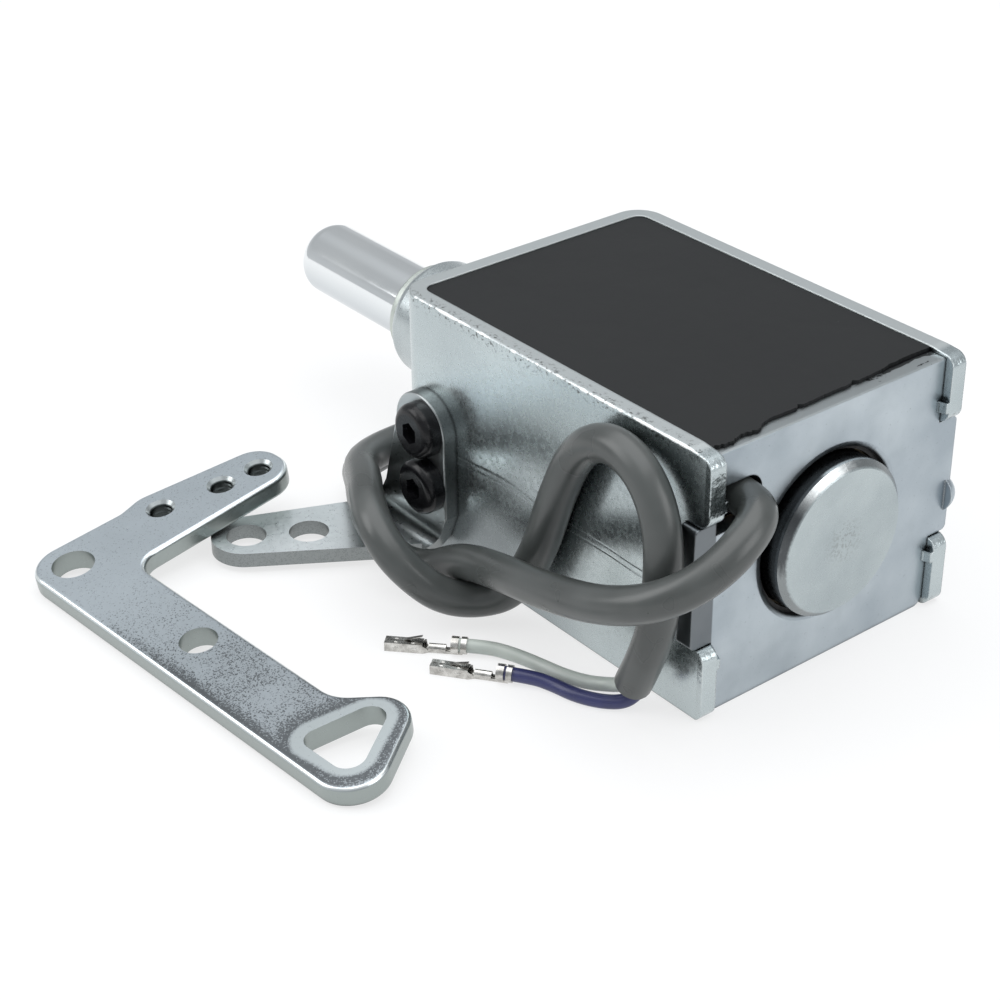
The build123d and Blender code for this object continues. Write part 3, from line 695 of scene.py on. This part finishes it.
# Bare cut steel with painted shade inside the tapped holes.
tapped_bare_and_shade_tone = (0.07, 0.08, 0.08)
bare_grain = 0.00017
clean_rim_reach = (0.0012, 0.0019)
countersink_radius = 0.0026
tapped_radius = 0.00172


def from_axis(tree, through, axis):
    """How far a place is from a slanted axis."""
    place = place_on(tree, origin=through)
    arm = add_node(tree, "VectorMath", {"operation": "CROSS_PRODUCT"}, Vector=place)
    arm.inputs[1].default_value = axis
    off = add_node(tree, "VectorMath", {"operation": "LENGTH"}, Vector=arm.outputs["Vector"])
    return off.outputs["Value"]


def reach_along(tree, direction):
    """How far a place lies from the corner hole in one direction."""
    along = add_node(tree, "VectorMath", {"operation": "DOT_PRODUCT"},
                     Vector=place_on(tree, origin=lever_corner))
    along.inputs[1].default_value = direction
    return along.outputs["Value"]


def off_bar(tree, place, start, end):
    """How far a place is from a straight bar between two points."""
    arm = add_node(tree, "VectorMath", {"operation": "SUBTRACT"}, Vector=place)
    arm.inputs[1].default_value = start
    bar = end - start
    share = add_node(tree, "VectorMath", {"operation": "DOT_PRODUCT"}, Vector=arm.outputs["Vector"])
    share.inputs[1].default_value = bar / bar.length_squared
    held = spread(tree, share.outputs["Value"], 0.0, 1.0)
    nearest = add_node(tree, "VectorMath", {"operation": "SCALE"}, Vector=bar, Scale=held)
    apart = add_node(tree, "VectorMath", {"operation": "DISTANCE"}, Vector=arm.outputs["Vector"])
    tree.links.new(nearest.outputs["Vector"], apart.inputs[1])
    return apart.outputs["Value"]


def off_slot(tree):
    """How far a place is outside the three-cornered slot, seen along the lever's thickness."""
    flat = add_node(tree, "VectorMath", {"operation": "CROSS_PRODUCT"},
                    Vector=place_on(tree, origin=lever_corner))
    flat.inputs[1].default_value = lever_up
    corners = [(lever_u * (u - corner_hole_uv[0]) + lever_v * (v - corner_hole_uv[1])).cross(lever_up) * mm
               for u, v in slot_corners]
    bars = [off_bar(tree, flat.outputs["Vector"], corners[i - 1], corners[i]) for i in range(3)]
    nearest = reckon(tree, "MINIMUM", reckon(tree, "MINIMUM", bars[0], bars[1]), bars[2])
    return reckon(tree, "SUBTRACT", nearest, slot_radius)


def lever_marks(tree):
    """Thin grainy zinc towards the slot, a clean rim round the slot, a painted dark reflection along one
    edge and round the slot, dull sides, bright rounded edges.
    """
    along = reach_along(tree, lever_run)
    thin = spread(tree, along, 0.010, 0.056)
    patches = spread(tree, speckle(tree, place_on(tree), 0.006, 3.0), 0.36, 0.62, 0.10, 0.62)
    from_edge = reckon(tree, "ADD", reach_along(tree, lever_v), corner_hole_uv[1] * mm)
    # Painted reflection: a dark band along the long arm's edge and one round the slot, shown as worn,
    # grainy steel.
    edge_reflection = reckon(tree, "MULTIPLY", spread(tree, from_edge, 0.0008, 0.0030, 0.95, 0.0),
                  spread(tree, along, 0.012, 0.034))
    slot = off_slot(tree)
    slot_reflection = spread(tree, slot, 0.0022, 0.0060, 0.85, 0.0)
    share = reckon(tree, "MAXIMUM", reckon(tree, "MAXIMUM", edge_reflection, slot_reflection),
                   reckon(tree, "MULTIPLY", thin, patches))
    clean_rim = spread(tree, slot, *clean_rim_reach, 1.0, 0.0)
    share = reckon(tree, "MULTIPLY", share, reckon(tree, "SUBTRACT", 1.0, clean_rim))
    bare = granules(tree, bare_grain, share)
    upright = facing(tree, lever_up)
    face = spread(tree, upright, 0.93, 0.97)
    bare = reckon(tree, "MULTIPLY", bare, face)
    wear_and_reflection = reckon(tree, "MULTIPLY", reckon(tree, "MULTIPLY", share, 0.75), face)
    side = spread(tree, upright, 0.55, 0.30)
    corner = reckon(tree, "MINIMUM", spread(tree, upright, 0.93, 0.88),
                    spread(tree, upright, 0.45, 0.65))
    marks = [(reckon(tree, "MULTIPLY", thin, 0.75), thin_tone, None), (wear_and_reflection, wear_and_reflection_tone, None),
             (reckon(tree, "MULTIPLY", bare, 0.75), bare_steel_and_reflection_tone, None),
             (reckon(tree, "MULTIPLY", clean_rim, face), slot_rim_tone, None),
             (side, lever_side_tone, None), (corner, round_edge_tone, None)]
    for hole in tapped_holes:
        off_axis = from_axis(tree, hole["pos_m"], lever_up)
        sunk = spread(tree, off_axis, countersink_radius, countersink_radius + 0.0002, 0.8, 0.0)
        mouth = reckon(tree, "MULTIPLY", sunk, spread(tree, upright, 0.97, 0.93))
        marks.append((mouth, countersink_tone, None))
        # The tapped holes are dark inside: bare cut steel, deepened with painted shade.
        inside = spread(tree, off_axis, tapped_radius, tapped_radius + 0.0001, 1.0, 0.0)
        marks.append((inside, tapped_bare_and_shade_tone, None))
    return marks


dress("lift_lever", zinc_finish("lever_zinc", lever_tone, lever_dark, (0.27, 0.31), grain=0.0003,
                                grain_depth=0.000004, clouds=0.012, edge=None,
                                marks=lever_marks, contact=0.0016))

# Three of the lever's holes are tapped. The thread's crests stand in from the drilled
# wall, and the first turn starts below the rounded mouth.
thread_pitch = 0.0007
thread_depth = 0.00017
thread_lead_in = 0.0005
thread_root = 0.00003
thread_half_width = 0.30
thread_steps = 24


def thread_shape(middle, axis, radius, bottom, top):
    """A ridge that winds up the wall of a hole."""
    shape = bmesh.new()
    across = axis.orthogonal().normalized()
    beside = axis.cross(across)
    wall = radius + thread_root
    profile = ((wall, -thread_half_width), (radius - thread_depth, 0.0), (wall, thread_half_width))
    steps = int(thread_steps * (top - bottom) / thread_pitch)
    last = None
    for step in range(steps + 1):
        turn = math.tau * step / thread_steps
        height = bottom + thread_pitch * step / thread_steps
        outward = across * math.cos(turn) + beside * math.sin(turn)
        ring = [shape.verts.new(middle + outward * reach + axis * (height + share * thread_pitch))
                for reach, share in profile]
        if last:
            for i in range(3):
                shape.faces.new((last[i - 1], last[i], ring[i], ring[i - 1]))
        else:
            shape.faces.new(ring[::-1])
        last = ring
    shape.faces.new(last)
    bmesh.ops.recalc_face_normals(shape, faces=shape.faces)
    return shape


lever_points = [vert.co for vert in nodes["lift_lever"].data.vertices]
for number, mount in enumerate(tapped_holes, 1):
    middle, axis = Vector(mount["pos_m"]), Vector(mount["axis"]).normalized()
    radius = mount["dims"]["r_mm"] * mm
    heights = []
    for point in lever_points:
        height = (point - middle).dot(axis)
        if abs((point - middle - axis * height).length - radius) < 0.01 * mm:
            heights.append(height)
    thread = object_of(f"lever_thread_{number}", thread_shape(
        middle, axis, radius, min(heights) + thread_lead_in, max(heights) - thread_lead_in),
        nodes["lift_lever"].data.materials[0])
    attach(thread, "lever")

# The armature's face is turned in a lathe, plated and broken round its rim. It slides
# in the brass sleeve, and the push rod is pressed into it.
armature_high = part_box("armature")[1]
face_tone = (0.475, 0.53, 0.54)
face_dark = (0.385, 0.435, 0.45)
face_ring_pitch = 0.0006
face_ring_depth = 0.000006
stipple_tone = (0.30, 0.33, 0.33)
stipple_grain = 0.00030
rim_tone = (0.27, 0.29, 0.295)
rim_lit_tone = (0.80, 0.83, 0.83)
rim_lit_from = (0, -0.35, 0.94)
rim_shaded_tone = (0.07, 0.075, 0.08)
rim_shaded_from = (0, -0.93, 0.37)
armature_side_tone = (0.045, 0.048, 0.05)
armature_side_depth = 0.0013


def turned_finish(name, tone, dark, ring_pitch, ring_depth, rough, marks=None, grain_depth=0.000006):
    """Plated steel with the faint rings that a lathe leaves round the solenoid's axis."""
    finish, tree, shader = new_finish(name)
    axis_height = frame_high.z / 2
    place = place_on(tree, origin=(0, 0, axis_height))
    patches = speckle(tree, place, 0.007, 3.0)
    grains = speckle(tree, place, 0.0003, 3.0, 0.7)
    rings = add_node(tree, "TexWave", {"wave_type": "RINGS", "rings_direction": "X"}, Vector=place,
                     Scale=1 / (20 * ring_pitch), Distortion=1.2, Detail=2.0).outputs["Fac"]
    shade = two_tones(tree, spread(tree, patches, 0.34, 0.66), dark, tone)
    for mask, colour in marks(tree, place) if marks else ():
        shade = two_tones(tree, mask, shade, colour)
    fine = add_node(tree, "Bump", Height=grains, Strength=1.0, Distance=grain_depth)
    turned_rings = add_node(tree, "Bump", Height=rings, Strength=1.0, Distance=ring_depth,
                            Normal=fine.outputs["Normal"])
    join_up(tree, shader, Base_Color=shade, Metallic=1.0, Normal=turned_rings.outputs["Normal"],
            Roughness=spread(tree, grains, 0.3, 0.7, *rough))
    return finish


def rim_marks(tree, place):
    """The dark plated side of the armature, the grey break of its rim, and a stippled middle."""
    depth = reckon(tree, "SUBTRACT", armature_high.x, ordinate(tree, "X"))
    side = spread(tree, depth, armature_side_depth, armature_side_depth + 0.0003)
    ragged = reckon(tree, "MULTIPLY", speckle(tree, place, 0.0004), 0.0003)
    rim = spread(tree, reckon(tree, "ADD", depth, ragged), 0.00022, 0.00045)
    streaked = reckon(tree, "MULTIPLY", speckle(tree, place_on(tree, (0.15, 1, 1)), 0.0009), 0.12)
    near_side = reckon(tree, "ADD", facing(tree, rim_shaded_from), streaked)
    shaded = reckon(tree, "MULTIPLY", rim, spread(tree, near_side, 0.66, 0.74, 0.0, 0.9))
    above = reckon(tree, "ADD", facing(tree, rim_lit_from), streaked)
    lit = reckon(tree, "MULTIPLY", rim, spread(tree, above, 0.66, 0.76))
    off_centre = from_line(tree, "X", (0, 0, frame_high.z / 2))
    stipple = reckon(tree, "MULTIPLY", granules(tree, stipple_grain, 0.30),
                     spread(tree, off_centre, 0.0010, 0.0042, 0.75, 0.0))
    return ((stipple, stipple_tone), (rim, rim_tone), (lit, rim_lit_tone),
            (shaded, rim_shaded_tone), (side, armature_side_tone))


dress("armature", turned_finish("armature_face", face_tone, face_dark, face_ring_pitch,
                                face_ring_depth, (0.24, 0.36), rim_marks, grain_depth=0.000016))

# The pole and its boss are one piece of steel, turned and zinc plated. It is staked in
# the frame's end wall, and the rod runs through it.
boss_tone = (0.56, 0.61, 0.62)
boss_dark = (0.42, 0.46, 0.47)
boss_ring_pitch = 0.0005
boss_ring_depth = 0.000003

dress("pole_piece", turned_finish("boss_zinc", boss_tone, boss_dark, boss_ring_pitch,
                                  boss_ring_depth, (0.22, 0.34), grain_depth=0.000010))

# The push rod is a steel bar, ground and hard chromed, with a rounded tip. Only the
# finest polishing lines show on it.
chrome_tone = (0.87, 0.89, 0.895)
chrome_smear = (0.80, 0.83, 0.845)
# Colour of the painted shade on the rod's underside.
chrome_underside_shade = (0.55, 0.585, 0.61)


def chrome_finish():
    """Polished chrome with fine lines round the bar, and painted shade on its underside."""
    finish, tree, shader = new_finish("rod_chrome")
    lines = speckle(tree, place_on(tree, stretch=(0.1, 3, 3)), 0.0006)
    smear = speckle(tree, place_on(tree, stretch=(3, 1, 1)), 0.003)
    # Painted shade: the rod's underside is darker.
    under = spread(tree, facing(tree, (0, 0, -1)), -0.30, 0.55)
    bump = add_node(tree, "Bump", Height=lines, Strength=0.5, Distance=0.000003)
    polished = two_tones(tree, smear, chrome_smear, chrome_tone)
    join_up(tree, shader, Base_Color=two_tones(tree, under, polished, chrome_underside_shade), Metallic=1.0,
            Roughness=spread(tree, smear, 0.3, 0.7, 0.07, 0.13), Normal=bump.outputs["Normal"])
    return finish


dress("push_rod", chrome_finish())

# The rod's two bushes are sintered bronze, dull and with open pores. Each is pressed
# into the bore of the boss, the front one up to its flange.
bush_tone = (0.62, 0.66, 0.62)
bush_dark = (0.48, 0.52, 0.49)


def bronze_finish(name, tone, dark, rough):
    """Bronze or brass with a grainy surface."""
    finish, tree, shader = new_finish(name)
    place = place_on(tree)
    pores = speckle(tree, place, 0.00025)
    bump = add_node(tree, "Bump", Height=pores, Strength=0.6, Distance=0.00001)
    join_up(tree, shader, Base_Color=two_tones(tree, pores, dark, tone), Metallic=1.0,
            Roughness=spread(tree, pores, 0.3, 0.7, *rough), Normal=bump.outputs["Normal"])
    return finish


for bush in ("front_rod_bush", "inner_rod_bush"):
    dress(bush, bronze_finish(bush, bush_tone, bush_dark, (0.32, 0.46)))

# The sleeve that the armature runs in is thin drawn brass, browned with use. It is
# pushed into the bobbin.
brass_tone = (0.085, 0.07, 0.045)
brass_dark = (0.06, 0.05, 0.03)

dress("guide_sleeve", bronze_finish("sleeve_brass", brass_tone, brass_dark, (0.3, 0.42)))

# The bobbin is moulded in black plastic and held between the pole and the end plate.
# Its end shows as a ring round the armature.
bobbin_tone = (0.005, 0.005, 0.006)


def black_plastic_finish(name, tone, grain, roughness, shine=0.5):
    """Black plastic, rubber or sleeve with a fine grain."""
    finish, tree, shader = new_finish(name)
    place = place_on(tree)
    fine = speckle(tree, place, grain)
    bump = add_node(tree, "Bump", Height=fine, Strength=0.4, Distance=grain / 12)
    lighter = tuple(1.5 * value for value in tone)
    join_up(tree, shader, Base_Color=two_tones(tree, fine, tone, lighter),
            Roughness=spread(tree, fine, 0.3, 0.7, roughness - 0.06, roughness + 0.06),
            Normal=bump.outputs["Normal"])
    shader.inputs["Specular IOR Level"].default_value = shine
    return finish


dress("bobbin", black_plastic_finish("bobbin_black", bobbin_tone, 0.0004, 0.42, shine=0.22))

# The winding is enamelled copper wire, wound on the bobbin in even layers, with one
# wrap of amber film tape over it.
wire_pitch = 0.00042
wire_tone = (0.62, 0.26, 0.12)
wire_dark = (0.22, 0.07, 0.03)
tape_tone = (0.62, 0.50, 0.16)
tape_dark = (0.52, 0.42, 0.12)


def winding_finish():
    """Turns of enamelled copper wire side by side along the axis."""
    finish, tree, shader = new_finish("coil_copper")
    place = place_on(tree)
    turns = add_node(tree, "TexWave", {"bands_direction": "X"}, Vector=place,
                     Scale=1 / (20 * wire_pitch)).outputs["Fac"]
    bump = add_node(tree, "Bump", Height=turns, Strength=0.8, Distance=wire_pitch / 3)
    join_up(tree, shader, Base_Color=two_tones(tree, turns, wire_dark, wire_tone), Metallic=0.7,
            Roughness=spread(tree, turns, 0.0, 1.0, 0.4, 0.25), Normal=bump.outputs["Normal"])
    return finish


dress("coil_winding", winding_finish())
dress("coil_tape", sheath_finish("coil_tape", tape_tone, tape_dark, 0.3, 0.001))

# The stop washer is soft black rubber on the armature's nose. The two soldered joints
# between the coil and the cable's cores lie under sleeves of shrunk black plastic.
rubber_tone = (0.018, 0.018, 0.018)
shrunk_tone = (0.02, 0.02, 0.022)

dress("stop_washer", black_plastic_finish("stop_rubber", rubber_tone, 0.0003, 0.7))
dress("lead_splices", black_plastic_finish("splice_sleeves", shrunk_tone, 0.0003, 0.45))

# The bracket's two screws are steel with a black oxide. They have domed heads with
# hexagon sockets, and go through the flange into the frame's side.
oxide_tone = (0.005, 0.005, 0.006)
oxide_bloom = (0.013, 0.0135, 0.015)


def black_oxide_finish():
    """Black oxide with a dry, slightly dusty bloom."""
    finish, tree, shader = new_finish("screw_black")
    place = place_on(tree)
    bloom = speckle(tree, place, 0.0006)
    fine = speckle(tree, place, 0.00012)
    bump = add_node(tree, "Bump", Height=fine, Strength=0.5, Distance=0.00001)
    tone = two_tones(tree, spread(tree, bloom, 0.45, 0.7), oxide_tone, oxide_bloom)
    join_up(tree, shader, Base_Color=tone, Normal=bump.outputs["Normal"],
            Roughness=spread(tree, bloom, 0.3, 0.7, 0.18, 0.28))
    shader.inputs["Specular IOR Level"].default_value = 0.30
    return finish


dress("bracket_screws", black_oxide_finish())

# Two sheets of pressed black fibre close the frame above and below the coil. The upper
# one is cut by hand: it laps over the end plate, with a nicked edge that is torn
# towards the cable.
rear_corner_radius = 0.0019
sheet_lap = 0.0008
sheet_spread = 0.00026
far_side_short = 0.0007
torn_lap = 0.0010
torn_ends_at = -0.0100
torn_starts_at = -0.0125
edge_nicks = ((-0.0046, 0.0006, 0.0005), (0.0056, 0.0005, 0.0006), (0.0130, 0.0002, 0.0009))
cut_steps = 170
corner_steps = 5
fibre_tone = (0.013, 0.014, 0.0145)
fibre_rubbed = (0.018, 0.019, 0.020)
dust_tone = (0.40, 0.41, 0.42)
dust_spacing = 1 / 260


def fibre_finish():
    """Dense black fibre with a dull sheen and a few pale specks of dust."""
    finish, tree, shader = new_finish("fibre_black")
    place = place_on(tree)
    fine = speckle(tree, place, 0.0003)
    rubbed = speckle(tree, place, 0.008, 4.0)
    cells = add_node(tree, "TexVoronoi", Vector=place, Scale=1 / dust_spacing).outputs["Distance"]
    dust = spread(tree, cells, 0.03, 0.045, 1.0, 0.0)
    few = spread(tree, speckle(tree, place, 0.004), 0.58, 0.62, 0.0, 0.35)
    tone = two_tones(tree, rubbed, fibre_tone, fibre_rubbed)
    tone = two_tones(tree, reckon(tree, "MULTIPLY", dust, few), tone, dust_tone)
    bump = add_node(tree, "Bump", Height=fine, Strength=0.35, Distance=0.00002)
    join_up(tree, shader, Base_Color=tone, Normal=bump.outputs["Normal"],
            Roughness=spread(tree, rubbed, 0.3, 0.7, 0.46, 0.58))
    shader.inputs["Specular IOR Level"].default_value = 0.17
    return finish


def cut_line(place, seed, draw):
    """How far the hand-cut edge stands out over the end plate at a place along it."""
    reach = sheet_lap + 0.00012 * math.sin(430 * place + seed) + draw.uniform(-0.00005, 0.00005)
    reach -= far_side_short * min(1, max(0, (place - 0.004) / 0.012))
    torn = min(1, max(0, (torn_ends_at - place) / (torn_ends_at - torn_starts_at)))
    reach += torn * (torn_lap + 0.00030 * math.sin(1300 * place) + draw.uniform(-0.00016, 0.00016))
    for middle, depth, half_width in edge_nicks:
        reach -= depth * max(0, 1 - abs(place - middle) / half_width)
    return reach


def fibre_sheet(name, low, high, hand_cut, seed):
    """A thin sheet with rounded inner corners, and one edge cut by hand."""
    draw = random.Random(seed)
    outline = []
    for corner_y, first in ((low.y, 270), (high.y, 180)):
        side = 1 if corner_y == low.y else -1
        middle = Vector((low.x + rear_corner_radius, corner_y + side * rear_corner_radius))
        arc = [first - 90 * step / corner_steps for step in range(corner_steps + 1)]
        outline += [(middle.x + rear_corner_radius * math.cos(math.radians(turn)),
                     middle.y + rear_corner_radius * math.sin(math.radians(turn))) for turn in arc]
    for step in range(cut_steps + 1):
        place = high.y + (low.y - high.y) * step / cut_steps
        outline.append((high.x + (cut_line(place, seed, draw) if hand_cut else 0), place))
    shape = bmesh.new()
    face = shape.faces.new([shape.verts.new((x, y, low.z)) for x, y in outline])
    raised = bmesh.ops.extrude_face_region(shape, geom=[face])
    for part in raised["geom"]:
        if isinstance(part, bmesh.types.BMVert):
            part.co.z = high.z
    bmesh.ops.recalc_face_normals(shape, faces=shape.faces)
    return object_of(name, shape, fibre, smooth_angle=30)


fibre = fibre_finish()
for name, hand_cut, seed in (("top_insulation_sheet", True, 4), ("bottom_insulation_sheet", False, 9)):
    low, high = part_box(name)
    low.x, low.y, high.y = low.x - sheet_spread, low.y - sheet_spread, high.y + sheet_spread
    sheet = fibre_sheet(name.replace("insulation", "fibre"), low, high, hand_cut, seed)
    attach(sheet, "solenoid_body")
    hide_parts(name)

# The floor is a wide pale surface. What the camera and the metal see of it is white,
# with the object's shadow kept in part.
floor_size = 3.0
floor_colour = (0.86, 0.87, 0.88)
white_share = 0.72
floor_drop = 0.00002


def seen_directly(tree):
    """1 for a ray from the camera, off metal or through glass, and 0 for the light itself."""
    path = add_node(tree, "LightPath").outputs
    direct = reckon(tree, "MAXIMUM", path["Is Camera Ray"], path["Is Glossy Ray"])
    return reckon(tree, "MAXIMUM", direct, path["Is Transmission Ray"])


floor_finish, tree, shader = new_finish("floor_white")
join_up(tree, shader, Base_Color=(*floor_colour, 1), Roughness=0.8)
glow = add_node(tree, "Emission", Color=(1, 1, 1, 1), Strength=1.0)
mixed = add_node(tree, "MixShader", Fac=reckon(tree, "MULTIPLY", seen_directly(tree), white_share))
tree.links.new(shader.outputs["BSDF"], mixed.inputs[1])
tree.links.new(glow.outputs["Emission"], mixed.inputs[2])
tree.links.new(mixed.outputs["Shader"], tree.nodes["Material Output"].inputs["Surface"])
shape = bmesh.new()
bmesh.ops.create_grid(shape, x_segments=8, y_segments=8, size=floor_size / 2)
floor = object_of("floor", shape, floor_finish)
floor.location.z = -floor_drop

# The studio: a pale surround, dimmer at half height so that metal takes its tone from
# it, and three broad soft lamps.
surround_steps = ((0.0, 0.62), (0.56, 0.60), (0.67, 0.50), (0.80, 0.52), (0.93, 0.92))
surround_tint = (0.94, 0.97, 1.0)
lamp_target = Vector((0, 0, 0))
world = bpy.data.worlds.new("studio")
world.use_nodes = True
bpy.context.scene.world = world
tree = world.node_tree
direction = add_node(tree, "TexCoord").outputs["Generated"]
upward = add_node(tree, "SeparateXYZ", Vector=direction).outputs["Z"]
ramp = add_node(tree, "ValToRGB", Fac=spread(tree, upward, -1, 1))
while len(ramp.color_ramp.elements) < len(surround_steps):
    ramp.color_ramp.elements.new(0.5)
for element, (height, level) in zip(ramp.color_ramp.elements, surround_steps):
    element.position = height
    element.color = (*[share * level for share in surround_tint], 1)
tree.links.new(ramp.outputs["Color"], tree.nodes["Background"].inputs["Color"])


def soft_lamp(name, place, size, power):
    """A square softbox aimed at the object."""
    light = bpy.data.lights.new(name, "AREA")
    light.size = size
    light.energy = power
    lamp = bpy.data.objects.new(name, light)
    lamp.location = place
    aim = lamp_target - Vector(place)
    lamp.rotation_euler = aim.to_track_quat("-Z", "Y").to_euler()
    bpy.context.scene.collection.objects.link(lamp)


soft_lamp("overhead", (-0.1, 0.0, 0.8), size=1.0, power=4.4)
soft_lamp("left_front", (-0.45, -0.6, 0.5), size=0.5, power=2.2)
soft_lamp("right", (0.7, 0.25, 0.4), size=0.5, power=1.8)
